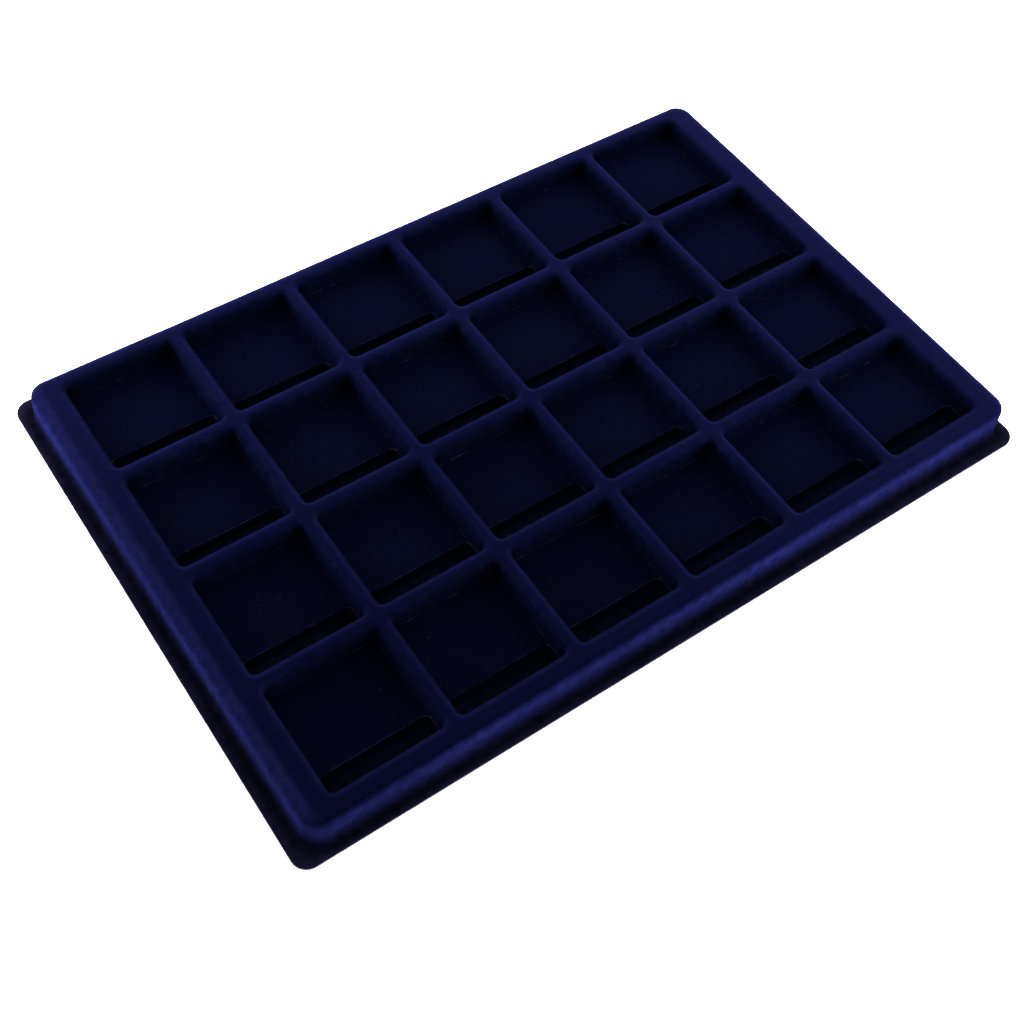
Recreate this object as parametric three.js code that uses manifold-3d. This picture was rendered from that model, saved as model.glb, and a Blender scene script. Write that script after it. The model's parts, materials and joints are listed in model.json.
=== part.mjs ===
// Coin display tray: a vacuum-formed plastic sheet with 24 square compartments, flocked on top.
//
// Millimetres, +Z up. The origin is at the middle of the tray, on the plane that it rests on.
// +X runs along the long side. The front is -Y, the side of each compartment that has the trough.
//
// Both pieces follow one show surface, the one that a visitor sees. The flock pile lies right under
// it and the carrier sheet lies under the pile, so each piece is the space between two copies of the
// surface, sunk into the tray by different distances.

import * as THREE from 'three';
import { mergeVertices } from 'three/addons/utils/BufferGeometryUtils.js';
import Module from 'manifold-3d';

const wasm = await Module();
wasm.setup();

// ---- Driving dimensions ----

const COLUMNS = 6;
const ROWS = 4;
const PITCH = 50;                 // from one compartment's centre to the next

const CELL_WIDTH = 44.2;          // square opening, wall to wall at the deck
const CELL_DEPTH = 9.2;           // from the deck down to the compartment's floor
const CELL_CORNER = 2.3;          // corner radius seen from above
const CELL_DRAFT = 1.5;           // degrees that the walls lean out

const TROUGH_WIDTH = 9.7;         // finger trough along the front wall, at the floor
const TROUGH_DEPTH = 3;           // below the floor: a coin pressed down here tips up
const TROUGH_LEDGE = 0.3;         // strip of floor left between the trough and the walls
const TROUGH_CORNER = 2.6;
const TROUGH_STEP_LEAN = 12;      // degrees that the step between floor and trough leans
const TROUGH_END_LEAN = 4;        // degrees that its other three walls lean

const HEIGHT = 16;                // from the resting plane to the deck
const END_RIM = 12.25;            // deck between the end compartments and the outer wall
const FRONT_RIM = 8;              // deck along the front side
const BACK_RIM = 7;               // deck along the back side
const BLOCK_CORNER = 7;           // corner radius of the raised block at the deck
const BLOCK_DRAFT = 4;            // degrees that the outer wall leans out
const SHOULDER_RADIUS = 2;        // rounding from the deck into the outer wall

const FLANGE_LENGTH = 329.5;
const FLANGE_WIDTH = 220;
const FLANGE_CORNER = 6;

// The edge was trimmed after forming, so it sits a little off-centre and askew round the block.
const TRIM_SHIFT_X = 0.9;         // block's distance in +X from the middle of the flange
const TRIM_SHIFT_Y = 0.5;         // the same in +Y
const TRIM_TURN = -0.4;           // degrees that the flange is turned, anticlockwise from above

const PILE_THICKNESS = 0.6;       // flock fibres standing on the sheet
const ADHESIVE_GAP = 0.3;         // room for the adhesive coat between fibres and sheet
const SHEET_THICKNESS = 0.8;

// ---- Derived sizes ----

const CARRIER_TOP = PILE_THICKNESS + ADHESIVE_GAP;
const CARRIER_UNDERSIDE = CARRIER_TOP + SHEET_THICKNESS;
const FLANGE_TOP = CARRIER_UNDERSIDE;      // so that the sheet's underside rests on z = 0

const BLOCK_LENGTH = (COLUMNS - 1) * PITCH + CELL_WIDTH + 2 * END_RIM;
const BLOCK_WIDTH = (ROWS - 1) * PITCH + CELL_WIDTH + FRONT_RIM + BACK_RIM;
const GRID_CENTRE_X = TRIM_SHIFT_X;
const GRID_CENTRE_Y = TRIM_SHIFT_Y + (FRONT_RIM - BACK_RIM) / 2;

// ---- Modelling steps ----

const CELL_CORNER_STEPS = 2;
const BLOCK_CORNER_STEPS = 5;
const SHOULDER_STEPS = 2;
const CUT_CLEARANCE = 1;          // how far a cutter runs past what it cuts

const slopeOf = (degrees) => Math.tan(THREE.MathUtils.degToRad(degrees));

// ---- Outlines and lofts ----

// A rectangle about the origin as the extents that roundedOutline takes.
function rectangle(length, width) {
  return { left: -length / 2, right: length / 2, front: -width / 2, back: width / 2 };
}

// Points of a rectangle with round corners, anticlockwise seen from above.
function roundedOutline({ left, right, front, back }, radius, stepsPerCorner) {
  const cornerCentres = [
    [right - radius, back - radius],
    [left + radius, back - radius],
    [left + radius, front + radius],
    [right - radius, front + radius],
  ];
  const points = [];
  cornerCentres.forEach(([x, y], quarter) => {
    for (let step = 0; step <= stepsPerCorner; step++) {
      const angle = (quarter + step / stepsPerCorner) * Math.PI / 2;
      points.push(new THREE.Vector2(x + radius * Math.cos(angle), y + radius * Math.sin(angle)));
    }
  });
  return points;
}

// A closed solid skinned through a stack of outlines, lowest first, with equally many points each.
function loft(sections) {
  const count = sections[0].outline.length;
  const positions = [];
  for (const { outline, z } of sections) {
    outline.forEach((point) => positions.push(point.x, point.y, z));
  }

  const triangles = [];
  for (let level = 0; level < sections.length - 1; level++) {
    for (let i = 0; i < count; i++) {
      const here = level * count + i;
      const next = level * count + (i + 1) % count;
      triangles.push(here, next, next + count);
      triangles.push(here, next + count, here + count);
    }
  }
  const top = (sections.length - 1) * count;
  for (let i = 1; i < count - 1; i++) {
    triangles.push(0, i + 1, i);
    triangles.push(top, top + i, top + i + 1);
  }

  const geometry = new THREE.BufferGeometry();
  geometry.setAttribute('position', new THREE.Float32BufferAttribute(positions, 3));
  geometry.setIndex(triangles);
  return geometry;
}

// ---- Solids for cutting and joining ----

function solidOf(geometry) {
  const merged = mergeVertices(geometry);
  return new wasm.Manifold(new wasm.Mesh({
    numProp: 3,
    vertProperties: new Float32Array(merged.attributes.position.array),
    triVerts: new Uint32Array(merged.index.array),
  }));
}

function geometryOf(solid) {
  const { vertProperties, triVerts } = solid.getMesh();
  const geometry = new THREE.BufferGeometry();
  geometry.setAttribute('position', new THREE.BufferAttribute(vertProperties, 3));
  geometry.setIndex(new THREE.BufferAttribute(triVerts, 1));
  geometry.computeVertexNormals();
  return geometry;
}

// ---- The show surface, sunk into the tray by a distance ----

// The raised block: a drafted wall that rolls over a round shoulder into the flat deck.
function blockGeometry(sunk) {
  const deck = HEIGHT - sunk;
  const shoulder = SHOULDER_RADIUS - sunk;
  const section = (z, rolledIn) => {
    const growth = (HEIGHT - z) * slopeOf(BLOCK_DRAFT) - sunk - rolledIn;
    const extents = rectangle(BLOCK_LENGTH + 2 * growth, BLOCK_WIDTH + 2 * growth);
    return { outline: roundedOutline(extents, BLOCK_CORNER + growth, BLOCK_CORNER_STEPS), z };
  };

  const sections = [section(-CUT_CLEARANCE, 0)];
  for (let step = 0; step <= SHOULDER_STEPS; step++) {
    const angle = (step / SHOULDER_STEPS) * Math.PI / 2;
    const rise = shoulder * (Math.sin(angle) - 1);
    sections.push(section(deck + rise, shoulder * (1 - Math.cos(angle))));
  }
  return loft(sections).translate(TRIM_SHIFT_X, TRIM_SHIFT_Y, 0);
}

// The flange, as a slab that reaches down below the resting plane.
function flangeGeometry(sunk, oversize) {
  const extents = rectangle(FLANGE_LENGTH + 2 * oversize, FLANGE_WIDTH + 2 * oversize);
  const outline = roundedOutline(extents, FLANGE_CORNER + oversize, BLOCK_CORNER_STEPS);
  return loft([
    { outline, z: -2 * CUT_CLEARANCE - oversize },
    { outline, z: FLANGE_TOP - sunk },
  ]).rotateZ(THREE.MathUtils.degToRad(TRIM_TURN));
}

// The hollow of one compartment above its floor.
function cellGeometry(sunk) {
  const section = (z) => {
    const growth = sunk - (HEIGHT - z) * slopeOf(CELL_DRAFT);
    const extents = rectangle(CELL_WIDTH + 2 * growth, CELL_WIDTH + 2 * growth);
    return { outline: roundedOutline(extents, CELL_CORNER + growth, CELL_CORNER_STEPS), z };
  };
  return loft([section(HEIGHT - CELL_DEPTH - sunk), section(HEIGHT + CUT_CLEARANCE)]);
}

// The hollow of one finger trough, from its bottom to a little above the compartment's floor.
function troughGeometry(sunk) {
  const floor = HEIGHT - CELL_DEPTH - sunk;
  const halfLength = CELL_WIDTH / 2 - CELL_DEPTH * slopeOf(CELL_DRAFT) - TROUGH_LEDGE + sunk;
  const front = -halfLength;
  const back = front + TROUGH_WIDTH + 2 * sunk;
  const section = (z, drop) => {
    const lean = drop * slopeOf(TROUGH_END_LEAN);
    const extents = {
      left: -halfLength + lean,
      right: halfLength - lean,
      front: front + lean,
      back: back - drop * slopeOf(TROUGH_STEP_LEAN),
    };
    return { outline: roundedOutline(extents, TROUGH_CORNER + sunk, CELL_CORNER_STEPS), z };
  };
  return loft([
    section(floor - TROUGH_DEPTH, TROUGH_DEPTH),
    section(floor, 0),
    section(floor + CUT_CLEARANCE, 0),
  ]);
}

// Everything under the sunk surface. An oversize copy cuts right through the flange's edge.
function formBelow(sunk, oversize = 0) {
  let form = solidOf(flangeGeometry(sunk, oversize)).add(solidOf(blockGeometry(sunk)));
  for (let row = 0; row < ROWS; row++) {
    for (let column = 0; column < COLUMNS; column++) {
      const x = GRID_CENTRE_X + (column - (COLUMNS - 1) / 2) * PITCH;
      const y = GRID_CENTRE_Y + (row - (ROWS - 1) / 2) * PITCH;
      form = form.subtract(solidOf(cellGeometry(sunk).translate(x, y, 0)));
      form = form.subtract(solidOf(troughGeometry(sunk).translate(x, y, 0)));
    }
  }
  return form;
}

function layerBetween(upper, lower) {
  return geometryOf(formBelow(upper).subtract(formBelow(lower, CUT_CLEARANCE)));
}

// ---- The pieces ----

// Polystyrene sheet, formed hot over a mould and trimmed round the flange.
function makeCarrierSheet() {
  const material = new THREE.MeshStandardMaterial({ color: 0x14173a, roughness: 0.5, metalness: 0 });
  const mesh = new THREE.Mesh(layerBetween(CARRIER_TOP, CARRIER_UNDERSIDE), material);
  mesh.name = 'carrier_sheet';
  return mesh;
}

// Short navy fibres standing in the adhesive all over the sheet's upper side.
function makeFlockPile() {
  const material = new THREE.MeshStandardMaterial({ color: 0x171a4a, roughness: 1, metalness: 0 });
  const mesh = new THREE.Mesh(layerBetween(0, PILE_THICKNESS), material);
  mesh.name = 'flock_pile';
  return mesh;
}

const tray = new THREE.Group();
tray.add(makeCarrierSheet(), makeFlockPile());

export default tray;
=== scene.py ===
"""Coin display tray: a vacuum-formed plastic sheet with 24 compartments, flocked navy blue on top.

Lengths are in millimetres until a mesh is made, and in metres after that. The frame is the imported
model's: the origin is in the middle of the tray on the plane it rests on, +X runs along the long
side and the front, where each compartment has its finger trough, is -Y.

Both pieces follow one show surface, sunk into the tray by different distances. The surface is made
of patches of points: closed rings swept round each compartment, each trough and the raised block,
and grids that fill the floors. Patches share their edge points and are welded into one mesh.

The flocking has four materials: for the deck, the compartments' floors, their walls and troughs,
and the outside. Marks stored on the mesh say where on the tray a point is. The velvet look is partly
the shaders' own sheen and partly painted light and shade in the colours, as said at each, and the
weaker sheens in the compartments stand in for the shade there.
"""

import copy
import json
import math

import bpy
import numpy as np
from mathutils import Matrix, Quaternion, Vector, noise


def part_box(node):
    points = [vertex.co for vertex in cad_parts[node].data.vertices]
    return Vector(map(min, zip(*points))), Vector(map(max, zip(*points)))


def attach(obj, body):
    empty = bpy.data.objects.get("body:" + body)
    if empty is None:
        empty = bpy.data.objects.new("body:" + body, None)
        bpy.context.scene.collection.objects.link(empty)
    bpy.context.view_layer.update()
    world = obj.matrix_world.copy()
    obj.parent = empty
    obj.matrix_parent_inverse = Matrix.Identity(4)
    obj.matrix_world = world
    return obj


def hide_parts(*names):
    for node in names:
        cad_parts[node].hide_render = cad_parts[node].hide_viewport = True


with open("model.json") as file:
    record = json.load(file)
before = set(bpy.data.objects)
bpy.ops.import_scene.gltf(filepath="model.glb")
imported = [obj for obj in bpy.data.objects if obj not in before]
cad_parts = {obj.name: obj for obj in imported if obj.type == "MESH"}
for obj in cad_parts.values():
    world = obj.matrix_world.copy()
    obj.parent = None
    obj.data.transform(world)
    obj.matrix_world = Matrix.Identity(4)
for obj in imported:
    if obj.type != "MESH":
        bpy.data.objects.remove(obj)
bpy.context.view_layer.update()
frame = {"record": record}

MM = 0.001

# ---- Sizes that come from the frame ----

compartments = [
    np.array(opening["box_m"]) / MM
    for opening in frame["record"]["physics"]["openings"]
    if opening["name"].startswith("compartment")
]
cell_centres = np.array([box.mean(axis=0)[:2] for box in compartments])
COLUMN_X = np.unique(cell_centres[:, 0].round(3))
ROW_Y = np.unique(cell_centres[:, 1].round(3))
PITCH = COLUMN_X[1] - COLUMN_X[0]
GRID_CENTRE = np.array([COLUMN_X.mean(), ROW_Y.mean()])
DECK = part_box("flock_pile")[1].z / MM
mounts = {mount["name"]: mount["pos_m"] for mount in frame["record"]["mounts"]}
FLANGE_TOP = mounts["flange_top"][2] / MM

# ---- The other sizes of the CAD model ----

CELL_WIDTH = 44.2
CELL_DEPTH = 9.2
CELL_CORNER = 2.3
CELL_LEAN = 1.5                 # degrees
TROUGH_WIDTH = 9.7
TROUGH_DEPTH = 3.0
TROUGH_LEDGE = 0.3
TROUGH_CORNER = 2.6
TROUGH_STEP_LEAN = 12.0         # degrees, the step between floor and trough
TROUGH_END_LEAN = 4.0           # degrees, the trough's other walls
END_RIM = 12.25
FRONT_RIM = 8.0
BACK_RIM = 7.0
BLOCK_CORNER = 7.0
BLOCK_LEAN = 4.0                # degrees
BLOCK_CENTRE = np.array([0.9, 0.5])
FLANGE_SIZE = np.array([329.5, 220.0])
FLANGE_CORNER = 6.0
FLANGE_TURN = math.radians(-0.4)

# ---- Roundings that only the visual model has ----

CELL_CROWN = (4.0, 20.0)        # radius, and degrees that the deck rolls over before the sharper edge
CELL_EDGE = 1.8
CELL_FOOT = 0.5
TIGHT_FOOT = 0.15               # where the trough's ledge leaves no room for more
TROUGH_EDGE = 0.12
STEP_EDGE = 0.35                # the trough's edge towards the open floor
TROUGH_FOOT = 1.6
BLOCK_CROWN = (7.0, 14.0)
BLOCK_EDGE = 2.2
BLOCK_FOOT = 1.6
SMALLEST_EDGE = 0.05
FLANGE_ROLL = 0.55              # the pile's round edge over the trimmed sheet
FOOT_BLEND = 3.0                # along a side wall, from the tight foot to the full one

# The layers, as distances below the show surface.
PILE_UNDERSIDE = 0.88
SHEET_TOP = 0.9
SHEET_UNDERSIDE = 1.7

# The forming's unevenness: how far it moves the surface, and over what distance that changes.
SLOW_ERROR = 0.16
SLOW_SIZE = 46.0
QUICK_ERROR = 0.05
QUICK_SIZE = 13.0
DRIFT_STARTS = np.array([[0.0, 0.0, 0.0], [31.7, 12.3, 5.9], [8.1, 47.9, 22.4]])

# ---- Mesh steps ----

HALF_ARC = 3                    # half of a compartment's corner
CELL_STRAIGHT = 8               # along a compartment's front and back
TROUGH_STRAIGHT = 3             # along a trough's ends
FLOOR_STRAIGHT = 5              # along a side wall, behind the trough
BLOCK_HALF_ARC = 7
CROWN_STEPS = 2
EDGE_STEPS = 3
WALL_STEPS = 3
FOOT_STEPS = 3
BAND_STEPS = 6
FLANGE_STEPS = 3
ROLL_STEPS = 3
WELD_DECIMALS = 4               # points that agree to this many decimals are one

SIDE_X = 2 * HALF_ARC + CELL_STRAIGHT
TROUGH_SIDE = 2 * HALF_ARC + TROUGH_STRAIGHT
FLOOR_SIDE = HALF_ARC + FLOOR_STRAIGHT
SIDE_Y = TROUGH_SIDE + FLOOR_SIDE
RIGHT_JOINT = SIDE_X + TROUGH_SIDE          # the trough's back corners, as points of its outline
LEFT_JOINT = 2 * SIDE_X + TROUGH_SIDE
CELL_X_STOPS = np.linspace(0, 1, CELL_STRAIGHT + 1)
RIM_X_STOPS = np.linspace(0, 1, len(COLUMN_X) * SIDE_X - 2 * BLOCK_HALF_ARC + 1)
RIM_Y_STOPS = np.linspace(0, 1, len(ROW_Y) * SIDE_Y - 2 * BLOCK_HALF_ARC + 1)

# ---- Where the pile differs ----

MARKS = ("crease", "lip", "edge", "pocket", "corner", "skirt", "tone", "flange")
DECK_PILE, FLOOR_PILE, POCKET_PILE, OUTER_PILE = range(4)     # the flocking's materials, in their order

CORNER_SHADE_REACH = 4.5              # how far the painted shade spreads from a compartment's upright corners
LIP_KEPT = 0.9                  # how much of the lip mark is left one point past the trough's edge

# The tone mark says where the rim is paler. The deck reads it from 0 for plain pile to 1.
LEFT_PALER = 0.85               # the left rim's outer part
LEFT_HELD_BACK = 0.15           # below 0 on the left rim's inner part, so that the paler part is narrow
OTHERS_PALER = 0.2              # the other rims' outer part
SHOULDER_TONE = 1.25            # on the shoulder, as a multiple of the outer part's

# ---- Looks ----

# Base colours in linear light, fitted to the photograph under this scene's lights. Those are strong,
# so the colours are very dark.
UPRIGHT = (0.00022, 0.00027, 0.0018)            # the deck's fibres, seen end on
EDGE_HIGHLIGHT = (0.0004, 0.0004, 0.0028)            # a painted highlight, added where the deck rolls over into a compartment
PALER_RIM = (0.0014, 0.0015, 0.0092)              # added where the rim is paler
ON_FLOOR = (0.00024, 0.00036, 0.0017)
LINT = (0.0035, 0.0035, 0.0080)
ON_POCKET_WALL = (0.00070, 0.00112, 0.0053)
# The troughs' browner tint, darkened as painted shade.
SHADED_TROUGH_TINT = (0.00052, 0.00080, 0.0030)
PAINTED_GLINT = (0.0190, 0.0190, 0.0260)           # a painted glint, where plastic shows through thin pile
# The outer wall: a painted sheen, pale and blue high up, and painted shade at its foot.
PAINTED_SHEEN_OUTSIDE = (0.0042, 0.0051, 0.0340)
PAINTED_SHADE_AT_FOOT = (0.0015, 0.00175, 0.0085)
# The flange's own greyer colour. The flange mark adds painted shade next to the wall and a painted
# sheen towards the trimmed edge.
ON_FLANGE = (0.00175, 0.00175, 0.0049)
PLASTIC = (0.011, 0.013, 0.042)

# Each pile's sheen, as its weight and its tint.
DECK_SHEEN = (0.14, (0.125, 0.155, 1.0))
# The floors' and the pocket walls' weaker sheens stand in for the shade in the compartments. The outer
# wall shares the weak sheen and has its sheen painted into its colour.
FLOOR_SHEEN = (0.075, (0.125, 0.175, 1.0))
WALL_SHEEN = (0.009, (0.2, 0.2, 1.0))
SHEEN_ROUGHNESS = 0.5

NOISE_LOW, NOISE_HIGH = 0.3, 0.7                # what a noise's values mostly lie between

# The camera, in millimetres and degrees. It aims at a place measured from the grid's middle, on the
# deck, and its distance and angles are measured from there.
CAMERA_AIM = (-36.57, -39.96)
CAMERA_AZIMUTH = -41.09
CAMERA_ELEVATION = 55.89
CAMERA_DISTANCE = 0.50328                       # metres
CAMERA_ROLL = 7.26
CAMERA_SENSOR = 36
CAMERA_LENS = 48.72

STUDIO_FLOOR_REACH = 3.0                        # metres
STUDIO_FLOOR_COLOUR = (0.95, 0.95, 0.95)
WORLD_STRENGTH = 1.5
WARM = (1.0, 0.82, 0.60)


# ---- Outlines and sections ----

def outline(core, x_stops, y_stops, half_arc):
    """Points on a core rectangle and their outward directions, for a rectangle with round corners.

    They run anticlockwise from the middle of the front left corner. The stops say where the straight
    sides' points lie, as shares of the side from left to right and from front to back."""
    left, right, front, back = core
    corners = np.array([[left, front], [right, front], [right, back], [left, back]], float)
    stops = [x_stops, y_stops, 1 - x_stops[::-1], 1 - y_stops[::-1]]
    bases = []
    angles = []
    for side in range(4):
        start = corners[side]
        end = corners[(side + 1) % 4]
        outward = (side - 1) * math.pi / 2
        turn = np.arange(half_arc) * math.pi / 4 / half_arc
        bases += [start] * half_arc
        bases += [start + (end - start) * stop for stop in stops[side]]
        bases += [end] * (half_arc - 1)
        angles += list(outward - math.pi / 4 + turn)
        angles += [outward] * len(stops[side])
        angles += list(outward + turn[1:])
    angles = np.array(angles)
    return np.array(bases), np.stack([np.cos(angles), np.sin(angles)], axis=1)


def arc(centre, radius, first, last, steps):
    """Points of an arc in a section, by the angle of its normal from straight up."""
    angles = np.linspace(first, last, steps + 1)
    return np.array(centre) + radius * np.stack([np.sin(angles), np.cos(angles)], axis=1)


def wall_section(high, low, lean, edge, foot, sunk, crown=None):
    """A wall from one level down to the next, as distances out from its plane and heights.

    A crown is a slow roll of the upper level before the edge."""
    lean = math.radians(lean)
    edge = max(edge - sunk, SMALLEST_EDGE)
    crown_radius, crown_angle = (crown[0] - sunk, math.radians(crown[1])) if crown else (edge, 0)
    edge_z = high - sunk - crown_radius + (crown_radius - edge) * math.cos(crown_angle)
    edge_out = (-sunk - edge - (edge_z - high) * math.sin(lean)) / math.cos(lean)
    crown_out = edge_out - (crown_radius - edge) * math.sin(crown_angle)
    foot_z = low - sunk + foot
    foot_out = (-sunk + foot - (foot_z - high) * math.sin(lean)) / math.cos(lean)

    steep = math.pi / 2 - lean
    section = []
    if crown:
        crown_centre = (crown_out, high - sunk - crown_radius)
        section.append(arc(crown_centre, crown_radius, 0, crown_angle, CROWN_STEPS)[:-1])
    section.append(arc((edge_out, edge_z), edge, crown_angle, steep, EDGE_STEPS))
    foot_arc = arc((foot_out, foot_z), -foot, steep, 0, FOOT_STEPS)
    section.append(np.linspace(section[-1][-1], foot_arc[0], WALL_STEPS + 1)[1:-1])
    section.append(foot_arc)
    return np.concatenate(section)


def sweep(bases, directions, corner, side, section, other=None, share=None):
    """Rings of a wall section round an outline. Side is 1 for a wall that faces out and -1 for one
    that faces in. At each point the section may be mixed with another one by a share."""
    mixed = np.repeat(section[:, None], len(bases), axis=1)
    if other is not None:
        mixed = mixed + (other - section)[:, None] * share[None, :, None]
    reach = corner + side * mixed[:, :, 0]
    flat = bases[None] + directions[None] * reach[:, :, None]
    return np.concatenate([flat, mixed[:, :, 1:]], axis=2)


def at_height(flat, z):
    """Points in three dimensions from points seen from above."""
    return np.concatenate([flat, np.full((len(flat), 1), z)], axis=1)


def shares(points):
    """How far along a line each of its points lies, from 0 to 1."""
    steps = np.linalg.norm(np.diff(points, axis=0), axis=1)
    return np.concatenate([[0], np.cumsum(steps)]) / steps.sum()


def fill(front, back, left, right):
    """A grid of points between four edges that share their corners."""
    u = shares(front)[None, :, None]
    v = shares(left)[:, None, None]
    rows = (1 - v) * front[None] + v * back[None]
    columns = (1 - u) * left[:, None] + u * right[:, None]
    corners = ((1 - u) * (1 - v) * front[0] + u * (1 - v) * front[-1]
               + (1 - u) * v * back[0] + u * v * back[-1])
    return rows + columns - corners


def closed(rings):
    """Rings with their first point repeated at the end."""
    return np.concatenate([rings, rings[:, :1]], axis=1)


class Patch:
    """A grid of points with marks that the flock's materials read, and each row of faces' pile.

    crease is 1 in the fold at a wall's foot and lip is 1 along a trough's edge, edge grows to 1 where
    the deck rolls over into a compartment, pocket grows with the depth in it, corner is 1 in its
    upright corners, skirt grows down the outer wall, tone says how much paler the deck's rim is, and
    flange grows from the outer wall's foot to the trimmed edge. The rows run inwards and the columns
    anticlockwise where a patch faces up, and flip is for the ones whose rows run outwards."""

    def __init__(self, points, pile, flip=False):
        self.points = points
        self.pile = np.full(len(points) - 1, pile)
        self.flip = flip
        self.marks = {name: np.zeros(points.shape[:2]) for name in MARKS}

    def moved(self, x, y):
        twin = copy.copy(self)
        twin.points = self.points + np.array([x, y, 0.0])
        return twin


# ---- One compartment about its own centre, sunk by a distance ----

FLOOR_LEVEL = DECK - CELL_DEPTH

# Half sizes of the compartment and the trough, and the cores that their corners turn about.
CELL_HALF = CELL_WIDTH / 2
CELL_CORE = CELL_HALF - CELL_CORNER
TROUGH_HALF = CELL_HALF - CELL_DEPTH * math.tan(math.radians(CELL_LEAN)) - TROUGH_LEDGE
TROUGH_CORE = TROUGH_HALF - TROUGH_CORNER
TROUGH_BACK = -TROUGH_HALF + TROUGH_WIDTH - TROUGH_CORNER
JOINT_Y = TROUGH_BACK + TROUGH_CORNER * math.sin(math.pi / 4)      # where the floor's grid begins


def cell_walls(sunk):
    """Rings from the middle of the ribs over the deck's edge and down to the floor.

    The foot is tight wherever the trough is next to it."""
    joint = (JOINT_Y + CELL_CORE) / (2 * CELL_CORE)
    y_stops = np.concatenate([
        np.linspace(0, joint, TROUGH_SIDE - HALF_ARC + 1),
        np.linspace(joint, 1, FLOOR_STRAIGHT + 1)[1:],
    ])
    core = (-CELL_CORE, CELL_CORE, -CELL_CORE, CELL_CORE)
    bases, directions = outline(core, CELL_X_STOPS, y_stops, HALF_ARC)
    full = wall_section(DECK, FLOOR_LEVEL, CELL_LEAN, CELL_EDGE, CELL_FOOT, sunk, CELL_CROWN)
    tight = wall_section(DECK, FLOOR_LEVEL, CELL_LEAN, CELL_EDGE, TIGHT_FOOT, sunk, CELL_CROWN)
    behind = np.clip((bases[:, 1] - JOINT_Y) / FOOT_BLEND, 0, 1)
    walls = sweep(bases, directions, CELL_CORNER, -1, tight, full, behind)
    margin = (PITCH / 2 - CELL_CORE) / np.abs(directions).max(axis=1)
    tile_edge = at_height(bases + directions * margin[:, None], DECK - sunk)
    return closed(np.concatenate([tile_edge[None], walls]))


def trough_walls(sunk):
    """Rings from the trough's edge to its bottom. Its back wall, the step, leans more than the rest."""
    core = (-TROUGH_CORE, TROUGH_CORE, -TROUGH_CORE, TROUGH_BACK)
    y_stops = np.linspace(0, 1, TROUGH_STRAIGHT + 1)
    bases, directions = outline(core, CELL_X_STOPS, y_stops, HALF_ARC)
    bottom = FLOOR_LEVEL - TROUGH_DEPTH
    ends = wall_section(FLOOR_LEVEL, bottom, TROUGH_END_LEAN, TROUGH_EDGE, TROUGH_FOOT, sunk)
    step = wall_section(FLOOR_LEVEL, bottom, TROUGH_STEP_LEAN, STEP_EDGE, TROUGH_FOOT, sunk)
    towards_back = np.clip(directions[:, 1], 0, 1)
    return closed(sweep(bases, directions, TROUGH_CORNER, -1, ends, step, towards_back))


def ledge_strip(foot, crest):
    """The ledge round the trough's front and ends, between the walls' foot and the trough's edge."""
    trough_points = 2 * (SIDE_X + TROUGH_SIDE)
    around = np.arange(LEFT_JOINT, RIGHT_JOINT + trough_points + 1) % trough_points
    beside = np.where(around >= LEFT_JOINT, around + 2 * FLOOR_SIDE, around)
    return np.stack([foot[beside], crest[around]])


def floor_grid(foot, crest):
    """The floor from the trough's edge to the foot of the back wall."""
    back_right = SIDE_X + SIDE_Y
    back_left = back_right + SIDE_X
    return fill(
        crest[RIGHT_JOINT:LEFT_JOINT + 1][::-1],
        foot[back_right:back_left + 1][::-1],
        np.concatenate([crest[LEFT_JOINT:LEFT_JOINT + 1],
                        foot[back_left:back_left + FLOOR_SIDE + 1][::-1]]),
        np.concatenate([crest[RIGHT_JOINT:RIGHT_JOINT + 1],
                        foot[RIGHT_JOINT:RIGHT_JOINT + FLOOR_SIDE + 1]]))


def trough_grid(ring):
    """The trough's bottom, inside the last ring of its walls."""
    return fill(ring[:SIDE_X + 1], ring[RIGHT_JOINT:LEFT_JOINT + 1][::-1],
                ring[LEFT_JOINT:][::-1], ring[SIDE_X:RIGHT_JOINT + 1])


def cell_patches(sunk):
    """One compartment, out to the middle of the ribs around it."""
    walls = cell_walls(sunk)
    trough = trough_walls(sunk)
    foot = walls[-1]
    crest = trough[0]
    patches = [Patch(points, POCKET_PILE) for points in (walls, ledge_strip(foot, crest), trough)]
    patches.append(Patch(floor_grid(foot, crest), FLOOR_PILE))
    patches.append(Patch(trough_grid(trough[-1]), POCKET_PILE))

    edge_start = 1 + CROWN_STEPS
    over_edge = np.interp(np.arange(len(walls)), [1, edge_start], [0, 1])
    on_lip = np.interp(np.arange(len(trough)), [0, 1, EDGE_STEPS], [1, LIP_KEPT, 0])
    patches[0].pile[:edge_start] = DECK_PILE
    patches[0].marks["edge"][:] = over_edge[:, None]
    patches[0].marks["crease"][len(walls) - 1 - FOOT_STEPS // 2] = 1
    patches[2].marks["lip"][:] = on_lip[:, None]
    for patch in patches:
        x, y, z = np.moveaxis(patch.points, -1, 0)
        depth = (DECK - sunk - z) / CELL_DEPTH
        from_corner = np.hypot(np.abs(x) - CELL_HALF, np.abs(y) - CELL_HALF)
        patch.marks["pocket"] = depth
        # The corner mark places painted shade in the upright corners, more of it further down.
        patch.marks["corner"] = np.exp(-(from_corner / CORNER_SHADE_REACH) ** 2) * np.clip(2 * depth, 0, 1)
    return patches


# ---- The rim: the deck round the compartments, the outer wall and the flange ----

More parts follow.
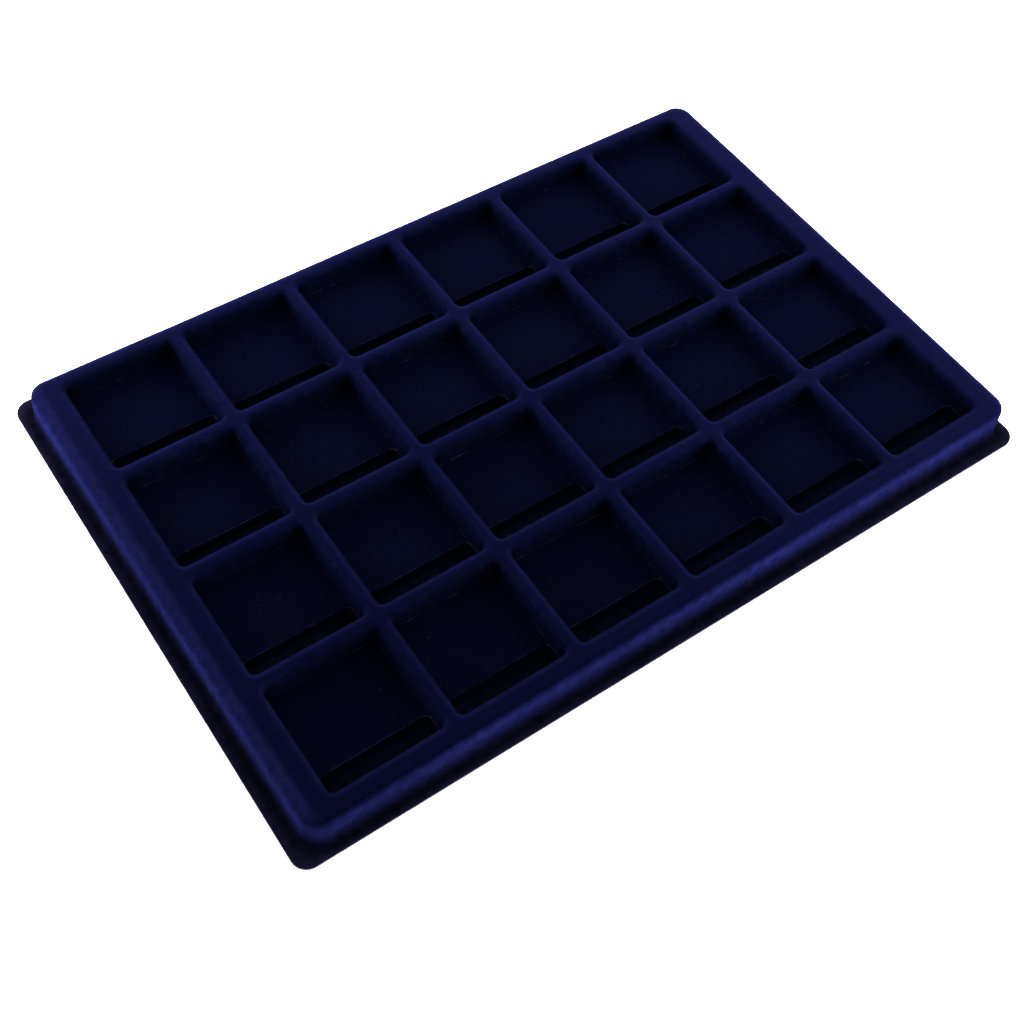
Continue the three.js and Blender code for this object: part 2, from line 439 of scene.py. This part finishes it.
def grid_boundary(sunk):
    """The outer edge of all the compartments' tiles, anticlockwise from the front left corner."""
    tile = cell_walls(sunk)[0][:-1, :2]
    front = tile[:SIDE_X]
    right = tile[SIDE_X:SIDE_X + SIDE_Y]
    back = tile[SIDE_X + SIDE_Y:2 * SIDE_X + SIDE_Y]
    left = tile[2 * SIDE_X + SIDE_Y:]
    pieces = [front + [x, ROW_Y[0]] for x in COLUMN_X]
    pieces += [right + [COLUMN_X[-1], y] for y in ROW_Y]
    pieces += [back + [x, ROW_Y[-1]] for x in COLUMN_X[::-1]]
    pieces += [left + [COLUMN_X[0], y] for y in ROW_Y[::-1]]
    return np.concatenate(pieces)


def block_walls(sunk):
    """Rings from the deck down to the flange, and how far each of their points faces left."""
    half_length = np.ptp(COLUMN_X) / 2 + CELL_WIDTH / 2 + END_RIM - BLOCK_CORNER
    half_width = (np.ptp(ROW_Y) + CELL_WIDTH + FRONT_RIM + BACK_RIM) / 2 - BLOCK_CORNER
    core = (-half_length, half_length, -half_width, half_width)
    bases, directions = outline(core, RIM_X_STOPS, RIM_Y_STOPS, BLOCK_HALF_ARC)
    section = wall_section(DECK, FLANGE_TOP, BLOCK_LEAN, BLOCK_EDGE, BLOCK_FOOT, sunk, BLOCK_CROWN)
    walls = sweep(bases + BLOCK_CENTRE, directions, BLOCK_CORNER, 1, section)
    leftness = np.clip(-closed(directions[None])[..., 0], 0, 1)
    return walls, leftness


def flange_edge(sunk):
    """Rings where the pile rolls over the trimmed edge, whose outline is turned against the block."""
    half = FLANGE_SIZE / 2 - FLANGE_CORNER
    core = (-half[0], half[0], -half[1], half[1])
    bases, directions = outline(core, RIM_X_STOPS, RIM_Y_STOPS, BLOCK_HALF_ARC)
    turn = np.array([[math.cos(FLANGE_TURN), math.sin(FLANGE_TURN)],
                     [-math.sin(FLANGE_TURN), math.cos(FLANGE_TURN)]])
    rings = []
    for angle in np.linspace(0, math.pi / 2, ROLL_STEPS + 1):
        reach = FLANGE_CORNER - FLANGE_ROLL * (1 - math.sin(angle))
        drop = FLANGE_ROLL * (1 - math.cos(angle)) if sunk == 0 else 0
        rings.append(at_height((bases + directions * reach) @ turn, FLANGE_TOP - sunk - drop))
    return np.array(rings)


def rim_patches(sunk):
    """The band of deck, the outer wall, the flange and its trimmed edge."""
    walls, leftness = block_walls(sunk)
    edge = flange_edge(sunk)
    band = np.linspace(at_height(grid_boundary(sunk), DECK - sunk), walls[0], BAND_STEPS + 1)
    flange = np.linspace(walls[-1], edge[0], FLANGE_STEPS + 1)
    patches = [Patch(closed(band), DECK_PILE, flip=True)]
    patches += [Patch(closed(rings), OUTER_PILE, flip=True) for rings in (walls, flange, edge)]
    patches[1].pile[:CROWN_STEPS + 1] = DECK_PILE
    for patch in patches:
        patch.marks["skirt"] = (DECK - sunk - patch.points[..., 2]) / (DECK - FLANGE_TOP)

    # The rim is paler in its outer half and on the shoulder, and most of all on the left.
    out = np.linspace(0, 1, BAND_STEPS + 1)[:, None]
    outer = np.clip(2 * out - 1, 0, 1)
    inner = np.clip(4 * out, 0, 1) * (1 - outer)
    paler = leftness * LEFT_PALER + (1 - leftness) * OTHERS_PALER
    shoulder = np.interp(np.arange(len(walls)), [0, CROWN_STEPS, CROWN_STEPS + EDGE_STEPS],
                         [1, SHOULDER_TONE, 0])
    patches[0].marks["tone"][:] = paler * outer - leftness * LEFT_HELD_BACK * inner
    patches[1].marks["tone"][:] = paler * shoulder[:, None]
    patches[2].marks["flange"][:] = np.linspace(0, 1, FLANGE_STEPS + 1)[:, None]
    patches[3].marks["flange"][:] = 1
    return patches


def show_surface(sunk):
    """All the patches of the surface, and its last ring of points, on the trimmed edge."""
    tile = cell_patches(sunk)
    patches = [patch.moved(x, y) for x, y in cell_centres for patch in tile]
    rim = rim_patches(sunk)
    return patches + rim, rim[-1].points[-1]


# ---- Welding the patches into meshes ----

def drift(point, size):
    """A vector that changes smoothly from place to place, over about that many millimetres.

    Each direction reads its own part of the noise. noise_vector would start from the clock and give
    another tray on every run."""
    return np.array([noise.noise(Vector(point / size + start)) for start in DRIFT_STARTS])


def forming_error(point):
    """The small unevenness of a sheet formed over a mould, none at the plane that the tray rests on."""
    uneven = SLOW_ERROR * drift(point, SLOW_SIZE) + QUICK_ERROR * drift(point, QUICK_SIZE)
    return uneven * min(1.0, max(0.0, point[2] / DECK))


def layer_patches(upper, lower):
    """The patches of a closed layer between two copies of the show surface."""
    top, top_edge = show_surface(upper)
    bottom, bottom_edge = show_surface(lower)
    for patch in bottom:
        patch.flip = not patch.flip
    return top + bottom + [Patch(np.stack([top_edge, bottom_edge]), OUTER_PILE, flip=True)]


def patch_quads(patch, offset):
    """A patch's faces, as the numbers of their corners when its points are numbered from an offset."""
    rows, columns = patch.points.shape[:2]
    index = offset + np.arange(rows * columns).reshape(rows, columns)
    ring = [index[:-1, :-1], index[:-1, 1:], index[1:, 1:], index[1:, :-1]]
    ring = ring[::-1] if patch.flip else ring
    return np.stack(ring, axis=-1).reshape(-1, 4)


def welded(patches):
    """One set of points from all the patches', each one's new number, and the marks at the points."""
    points = np.concatenate([patch.points.reshape(-1, 3) for patch in patches])
    _, first, same = np.unique(points.round(WELD_DECIMALS), axis=0, return_index=True,
                               return_inverse=True)
    same = same.ravel()
    marks = {}
    for label in MARKS:
        marks[label] = np.full(len(first), -np.inf, np.float32)
        values = np.concatenate([patch.marks[label].ravel() for patch in patches])
        np.maximum.at(marks[label], same, values)
    return points[first], same, marks


def layer_mesh(name, upper, lower, materials):
    """A closed mesh between two copies of the show surface.

    Where there is a material for each pile, a face takes its own."""
    patches = layer_patches(upper, lower)
    quads = []
    piles = []
    offset = 0
    for patch in patches:
        rows, columns = patch.points.shape[:2]
        quads.append(patch_quads(patch, offset))
        piles += np.repeat(patch.pile, columns - 1).tolist()
        offset += rows * columns

    points, same, marks = welded(patches)
    points = points + np.array([forming_error(point) for point in points])
    faces = []
    slots = []
    for quad, pile in zip(same[np.concatenate(quads)].tolist(), piles):
        corners = [v for i, v in enumerate(quad) if v != quad[i - 1]]
        if len(set(corners)) >= 3:
            faces.append(corners)
            slots.append(min(pile, len(materials) - 1))

    mesh = bpy.data.meshes.new(name)
    mesh.from_pydata((points * MM).tolist(), [], faces)
    for material in materials:
        mesh.materials.append(material)
    mesh.polygons.foreach_set("material_index", slots)
    mesh.validate()
    mesh.shade_smooth()
    for label in MARKS:
        mesh.attributes.new(label, "FLOAT", "POINT").data.foreach_set("value", marks[label])
    return mesh


def make_layer(name, upper, lower, node, materials):
    """A piece of the tray, from its upper to its lower depth below the show surface."""
    piece = bpy.data.objects.new(name, layer_mesh(name, upper, lower, materials))
    bpy.context.scene.collection.objects.link(piece)
    piece.modifiers.new("flat_faces_lead", "WEIGHTED_NORMAL")
    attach(piece, "root")
    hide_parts(node)


# ---- Materials ----

class Graph:
    """A material's nodes, with short calls that return the sockets to link on."""

    def __init__(self, name):
        self.material = bpy.data.materials.new(name)
        self.material.use_nodes = True
        self.tree = self.material.node_tree
        self.shader = self.tree.nodes["Principled BSDF"]
        self.place = self.tree.nodes.new("ShaderNodeTexCoord").outputs["Object"]

    def link(self, value, socket):
        if isinstance(value, bpy.types.NodeSocket):
            self.tree.links.new(value, socket)
        else:
            socket.default_value = value

    def feed(self, name, value):
        """Links a value to a socket of the shader, or sets it there if it is the same all over."""
        self.link(value, self.shader.inputs[name])

    def mark(self, name):
        node = self.tree.nodes.new("ShaderNodeAttribute")
        node.attribute_name = name
        return node.outputs["Fac"]

    def noise(self, size, detail=2.0):
        """Noise from 0 to 1 whose lumps are about that many millimetres across."""
        node = self.tree.nodes.new("ShaderNodeTexNoise")
        node.inputs["Scale"].default_value = 1 / (size * MM)
        node.inputs["Detail"].default_value = detail
        self.link(self.place, node.inputs["Vector"])
        return node.outputs["Fac"]

    def ramp(self, value, start, end, low=0.0, high=1.0):
        """A smooth change from low to high while the value goes from start to end."""
        node = self.tree.nodes.new("ShaderNodeMapRange")
        node.interpolation_type = "SMOOTHSTEP"
        for socket, given in zip(("Value", "From Min", "From Max", "To Min", "To Max"),
                                 (value, start, end, low, high)):
            self.link(given, node.inputs[socket])
        return node.outputs["Result"]

    def by_mark(self, name, low, high):
        """A smooth change from low to high while a mark goes from 0 to 1."""
        return self.ramp(self.mark(name), 0.0, 1.0, low, high)

    def between(self, low, high, size, detail):
        """Noise that wanders between two values."""
        return self.ramp(self.noise(size, detail), NOISE_LOW, NOISE_HIGH, low, high)

    def uneven(self, spread, size, detail):
        """A factor that wanders by a spread either way of 1."""
        return self.between(1 - spread, 1 + spread, size, detail)

    def math(self, operation, a, b):
        node = self.tree.nodes.new("ShaderNodeMath")
        node.operation = operation
        self.link(a, node.inputs[0])
        self.link(b, node.inputs[1])
        return node.outputs["Value"]

    def product(self, *values):
        result = values[0]
        for value in values[1:]:
            result = self.math("MULTIPLY", result, value)
        return result

    def scaled(self, colour, amount):
        node = self.tree.nodes.new("ShaderNodeVectorMath")
        node.operation = "SCALE"
        self.link(colour, node.inputs[0])
        self.link(amount, node.inputs["Scale"])
        return node.outputs["Vector"]

    def sum(self, a, b):
        node = self.tree.nodes.new("ShaderNodeVectorMath")
        node.operation = "ADD"
        self.link(a, node.inputs[0])
        self.link(b, node.inputs[1])
        return node.outputs["Vector"]

    def mix(self, share, a, b):
        node = self.tree.nodes.new("ShaderNodeMix")
        node.data_type = "VECTOR"
        # The node has sockets for every type of value, and 4, 5 and 1 are the vectors'.
        self.link(share, node.inputs[0])
        self.link(a, node.inputs[4])
        self.link(b, node.inputs[5])
        return node.outputs[1]

    def bump(self, height, distance, strength, below=None):
        """The normals of a height in millimetres, on top of another bump's."""
        node = self.tree.nodes.new("ShaderNodeBump")
        node.inputs["Distance"].default_value = distance * MM
        node.inputs["Strength"].default_value = strength
        self.link(height, node.inputs["Height"])
        if below is not None:
            self.link(below, node.inputs["Normal"])
        return node.outputs["Normal"]


def pile_graph(name, sheen):
    """Short matted fibres: a dull, lumpy surface with a sheen on the fibres' tips."""
    graph = Graph(name)
    lumps = graph.bump(graph.noise(6.0, 3.0), distance=0.25, strength=0.6)
    tufts = graph.bump(graph.noise(1.5, 2.0), distance=0.14, strength=0.7, below=lumps)
    fibres = graph.bump(graph.noise(0.5, 2.0), distance=0.12, strength=0.6, below=tufts)
    weight, tint = sheen
    graph.feed("Normal", fibres)
    graph.feed("Roughness", graph.between(0.86, 0.98, size=3.5, detail=3.0))
    graph.feed("Specular IOR Level", 0.0)
    graph.feed("Sheen Weight", weight)
    graph.feed("Sheen Roughness", SHEEN_ROUGHNESS)
    graph.feed("Sheen Tint", (*tint, 1))
    return graph


def unevenness(graph):
    """Single tufts, the mottle of how they lie, and broad patches that lie another way."""
    grain = graph.uneven(0.22, size=0.5, detail=1.0)
    mottle = graph.uneven(0.24, size=3.5, detail=3.0)
    patches = graph.uneven(0.15, size=38.0, detail=2.0)
    return graph.product(grain, mottle, patches)


def make_deck_pile():
    """Upright fibres on the deck: nearly black from above, with the strongest sheen at a slant."""
    graph = pile_graph("deck_pile", DECK_SHEEN)
    # A painted highlight where the deck rolls over into a compartment.
    painted_edge_highlight = graph.scaled(EDGE_HIGHLIGHT, graph.mark("edge"))
    rim_paleness = graph.scaled(PALER_RIM, graph.by_mark("tone", 0.0, 1.0))
    colour = graph.sum(graph.sum(UPRIGHT, painted_edge_highlight), rim_paleness)
    graph.feed("Base Color", graph.scaled(colour, unevenness(graph)))
    return graph.material


def make_floor_pile():
    """Pile on the compartments' floors, with painted shade in corners and a little lint caught in it.
    """
    graph = pile_graph("floor_pile", FLOOR_SHEEN)
    # Painted shade in the compartment's upright corners.
    corner_shade = graph.by_mark("corner", 1.0, 0.3)
    colour = graph.scaled(ON_FLOOR, graph.product(unevenness(graph), corner_shade))
    lint = graph.ramp(graph.noise(1.3, detail=0.0), 0.83, 0.88)
    graph.feed("Base Color", graph.mix(lint, colour, LINT))
    return graph.material


def make_pocket_wall_pile():
    """Pile on the compartments' walls and troughs, with painted shade and painted glints."""
    graph = pile_graph("pocket_wall_pile", WALL_SHEEN)
    pocket = graph.mark("pocket")
    # Painted shade: the wall is paler near the deck and darker further down.
    less_shade_near_deck = graph.ramp(pocket, 0.0, 0.5, low=1.5, high=1.0)
    wall = graph.scaled(ON_POCKET_WALL, less_shade_near_deck)
    # The trough takes its browner tint, darkened further as painted shade.
    in_trough = graph.ramp(pocket, 1.0, 1.2)
    colour = graph.mix(in_trough, wall, SHADED_TROUGH_TINT)
    # Painted shade in the compartment's upright corners.
    corner_shade = graph.by_mark("corner", 1.0, 0.35)
    colour = graph.scaled(colour, graph.product(unevenness(graph), corner_shade))

    # Painted glints: the colour turns pale where the pile is thin and the plastic shows, broken along a
    # fold and along a lip.
    stretches = graph.noise(6.0)
    dashes = graph.ramp(graph.noise(1.6), 0.38, 0.6, low=0.3)
    in_fold = graph.product(graph.ramp(graph.mark("crease"), 0.6, 0.95),
                            graph.ramp(stretches, 0.50, 0.66), dashes)
    on_lip = graph.product(graph.ramp(graph.mark("lip"), 0.5, 0.95),
                           graph.ramp(stretches, 0.35, 0.6, low=0.25), dashes)
    glint = graph.math("MAXIMUM", in_fold, on_lip)
    graph.feed("Base Color", graph.mix(glint, colour, PAINTED_GLINT))
    return graph.material


def make_outer_wall_pile():
    """Pile round the outside: painted sheen and shade on the wall, and a greyer flange."""
    graph = pile_graph("outer_wall_pile", WALL_SHEEN)
    skirt = graph.mark("skirt")
    # Painted sheen high on the wall, and painted shade at the wall's foot.
    wall = graph.mix(graph.ramp(skirt, 0.3, 0.9), PAINTED_SHEEN_OUTSIDE, PAINTED_SHADE_AT_FOOT)
    # The painted sheen is weaker close under the shoulder.
    darker_near_shoulder = graph.ramp(skirt, 0.03, 0.22, low=0.38)
    wall = graph.scaled(wall, darker_near_shoulder)
    # Painted shade on the flange next to the wall, and a painted sheen paler towards the trimmed edge.
    flange = graph.scaled(ON_FLANGE, graph.by_mark("flange", 0.7, 1.7))
    colour = graph.mix(graph.ramp(skirt, 0.86, 1.0), wall, flange)
    toned = graph.math("ADD", graph.mark("tone"), 1.0)
    graph.feed("Base Color", graph.scaled(colour, graph.product(unevenness(graph), toned)))
    return graph.material


def make_sheet_material():
    """Navy polystyrene with the faint haze and the waviness of a formed sheet."""
    graph = Graph("carrier_plastic")
    haze = graph.uneven(0.2, size=25.0, detail=3.0)
    fine = graph.uneven(0.07, size=1.2, detail=2.0)
    waves = graph.bump(graph.noise(14.0), distance=0.2, strength=0.3)
    graph.feed("Base Color", graph.scaled(PLASTIC, graph.product(haze, fine)))
    graph.feed("Roughness", graph.between(0.45, 0.6, size=9.0, detail=3.0))
    graph.feed("Normal", graph.bump(graph.noise(0.8), distance=0.03, strength=0.4, below=waves))
    graph.feed("Specular IOR Level", 0.2)
    return graph.material


# ---- Camera, floor and light ----

def direction(azimuth, elevation):
    """From the tray towards a place round it: an azimuth of 0 is the front and 90 the right."""
    azimuth = math.radians(azimuth)
    elevation = math.radians(elevation)
    return Vector((math.cos(elevation) * math.sin(azimuth),
                   -math.cos(elevation) * math.cos(azimuth), math.sin(elevation)))


def make_camera():
    """The photograph's viewpoint: aimed left of and in front of the grid's middle, rolled a little."""
    aim = Vector((*(GRID_CENTRE + CAMERA_AIM), DECK)) * MM
    towards = direction(CAMERA_AZIMUTH, CAMERA_ELEVATION)
    data = bpy.data.cameras.new("camera")
    data.sensor_width = CAMERA_SENSOR
    data.lens = CAMERA_LENS
    data.dof.use_dof = False
    camera = bpy.data.objects.new("camera", data)
    level = (-towards).to_track_quat("-Z", "Y")
    turn = level @ Quaternion((0, 0, 1), math.radians(CAMERA_ROLL))
    place = Matrix.Translation(aim + towards * CAMERA_DISTANCE)
    camera.matrix_world = place @ turn.to_matrix().to_4x4()
    bpy.context.scene.collection.objects.link(camera)
    bpy.context.scene.camera = camera


def make_floor():
    mesh = bpy.data.meshes.new("floor")
    reach = STUDIO_FLOOR_REACH
    corners = [(-reach, -reach, 0), (reach, -reach, 0), (reach, reach, 0), (-reach, reach, 0)]
    mesh.from_pydata(corners, [], [(0, 1, 2, 3)])
    floor = bpy.data.objects.new("floor", mesh)
    bpy.context.scene.collection.objects.link(floor)
    material = bpy.data.materials.new("pale_floor")
    material.use_nodes = True
    shader = material.node_tree.nodes["Principled BSDF"]
    shader.inputs["Base Color"].default_value = (*STUDIO_FLOOR_COLOUR, 1)
    shader.inputs["Roughness"].default_value = 0.9
    shader.inputs["Specular IOR Level"].default_value = 0.0
    mesh.materials.append(material)


def make_area_light(name, azimuth, elevation, distance, size, power, colour=(1.0, 1.0, 1.0)):
    """A square softbox that looks at the tray's middle, its distance and size in metres."""
    towards = direction(azimuth, elevation)
    data = bpy.data.lights.new(name, "AREA")
    data.size = size
    data.energy = power
    data.color = colour
    light = bpy.data.objects.new(name, data)
    light.matrix_world = (Matrix.Translation(towards * distance)
                          @ towards.to_track_quat("Z", "Y").to_matrix().to_4x4())
    bpy.context.scene.collection.objects.link(light)


def make_light():
    world = bpy.data.worlds.new("studio")
    world.use_nodes = True
    world.node_tree.nodes["Background"].inputs["Color"].default_value = (1, 1, 1, 1)
    world.node_tree.nodes["Background"].inputs["Strength"].default_value = WORLD_STRENGTH
    bpy.context.scene.world = world
    make_area_light("back", azimuth=139, elevation=35, distance=0.8, size=0.7, power=23, colour=WARM)
    make_area_light("left", azimuth=-136, elevation=7, distance=0.4, size=0.25, power=4.6)
    make_area_light("front", azimuth=42, elevation=12, distance=0.6, size=0.4, power=7.4)
    bpy.context.scene.view_settings.view_transform = "Standard"


# ---- The scene ----

make_camera()
make_floor()
make_light()
make_layer("flocking", 0, PILE_UNDERSIDE, "flock_pile",
           [make_deck_pile(), make_floor_pile(), make_pocket_wall_pile(), make_outer_wall_pile()])
make_layer("formed_sheet", SHEET_TOP, SHEET_UNDERSIDE, "carrier_sheet",
           [make_sheet_material()])
